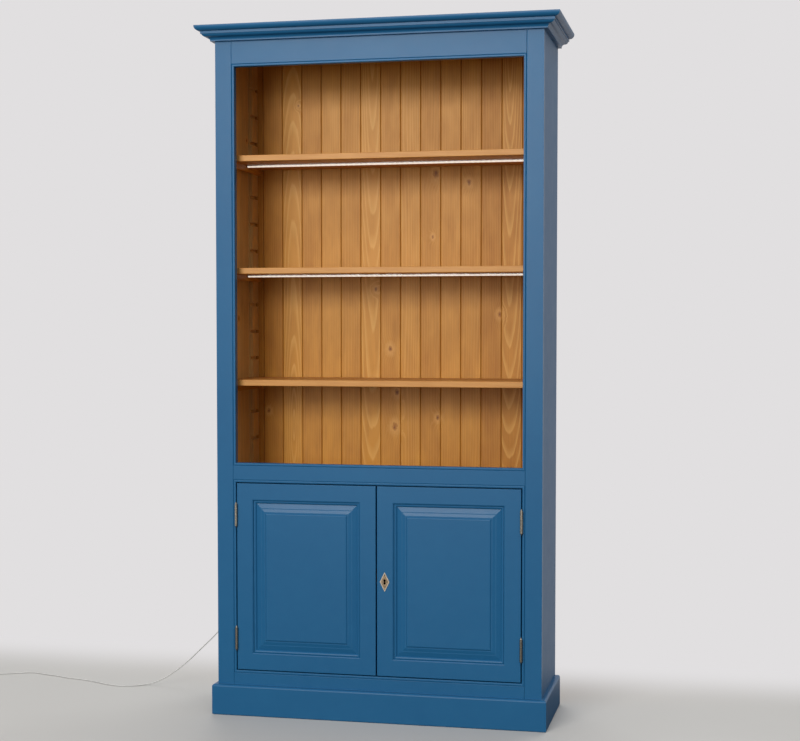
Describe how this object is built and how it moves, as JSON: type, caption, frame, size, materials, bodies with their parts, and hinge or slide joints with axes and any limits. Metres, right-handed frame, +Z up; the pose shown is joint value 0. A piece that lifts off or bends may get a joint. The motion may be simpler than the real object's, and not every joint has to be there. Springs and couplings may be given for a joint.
{
  "type": "bookcase with cabinet doors",
  "caption": "Tall painted bookcase with adjustable lit shelves above a hinged two-door cabinet, with a cornice, a plinth and a power lead.",
  "frame": {"origin": "on the floor under the middle of the cornice's footprint", "axes": "+X to the right seen from the front, +Y to the back, +Z up"},
  "size_m": [2.1451, 0.4633, 2.15],
  "materials": {
    "blue_paint": "satin blue paint on pine",
    "waxed_pine": "waxed knotty pine",
    "antique_brass": "aged brass",
    "zinc_plated_steel": "zinc plate",
    "anodised_aluminium": "natural anodised",
    "lit_diffuser": "milky, lit",
    "pale_rubber": "satin",
    "white_plastic": "semi-gloss"
  },
  "bodies": {
    "case": {"side_left": "blue_paint", "side_right": "blue_paint", "stile_left": "blue_paint", "stile_right": "blue_paint", "top_rail": "blue_paint", "mid_rail": "blue_paint", "bottom_rail": "blue_paint", "upper_bead": "blue_paint", "door_bead": "blue_paint", "cornice_front": "blue_paint", "cornice_left": "blue_paint", "cornice_right": "blue_paint", "plinth_front": "blue_paint", "plinth_left": "blue_paint", "plinth_right": "blue_paint", "top_board": "waxed_pine", "mid_board": "waxed_pine", "base_board": "waxed_pine", "back_boards_1": "waxed_pine", "back_boards_2": "waxed_pine", "back_boards_3": "waxed_pine", "back_boards_4": "waxed_pine", "ladder_front_left": "waxed_pine", "ladder_front_right": "waxed_pine", "ladder_back_left": "waxed_pine", "ladder_back_right": "waxed_pine", "shelf_cleats_left": "waxed_pine", "shelf_cleats_right": "waxed_pine", "shelf_upper": "waxed_pine", "shelf_middle": "waxed_pine", "shelf_lower": "waxed_pine", "cabinet_shelf": "waxed_pine", "cabinet_cleats": "waxed_pine", "door_stop": "waxed_pine", "led_channels": "anodised_aluminium", "led_diffusers": "lit_diffuser", "hinge_frame_leaves": "antique_brass", "hinge_pins": "antique_brass", "cord_gland": "pale_rubber", "cord_lead": "pale_rubber", "cord_coil": "pale_rubber", "power_plug": "white_plastic"},
    "left_door": {"left_hinge_stile": "blue_paint", "left_meeting_stile": "blue_paint", "left_top_rail": "blue_paint", "left_bottom_rail": "blue_paint", "left_panel": "blue_paint", "left_hinge_leaves": "antique_brass", "strike_plate": "antique_brass", "bolt_guide": "antique_brass"},
    "right_door": {"right_hinge_stile": "blue_paint", "right_meeting_stile": "blue_paint", "right_top_rail": "blue_paint", "right_bottom_rail": "blue_paint", "right_panel": "blue_paint", "right_hinge_leaves": "antique_brass", "lock_case": "zinc_plated_steel", "escutcheon": "antique_brass"},
    "lock_bolt": {"lock_bolt": "antique_brass"},
    "surface_bolt": {"surface_bolt": "antique_brass"}
  },
  "joints": [
    {"name": "left_door_hinge", "type": "hinge", "parent": "case", "child": "left_door", "pos_m": [-0.4505, -0.153, 0.4385], "axis": [0, 0, -1], "range_deg": [0, 165]},
    {"name": "right_door_hinge", "type": "hinge", "parent": "case", "child": "right_door", "pos_m": [0.4505, -0.153, 0.4385], "axis": [0, 0, 1], "range_deg": [0, 165]},
    {"name": "lock_bolt_slide", "type": "slide", "parent": "right_door", "child": "lock_bolt", "axis": [-1, 0, 0], "range_m": [0, 0.009]},
    {"name": "surface_bolt_slide", "type": "slide", "parent": "left_door", "child": "surface_bolt", "axis": [0, 0, 1], "range_m": [0, 0.012]}
  ]
}
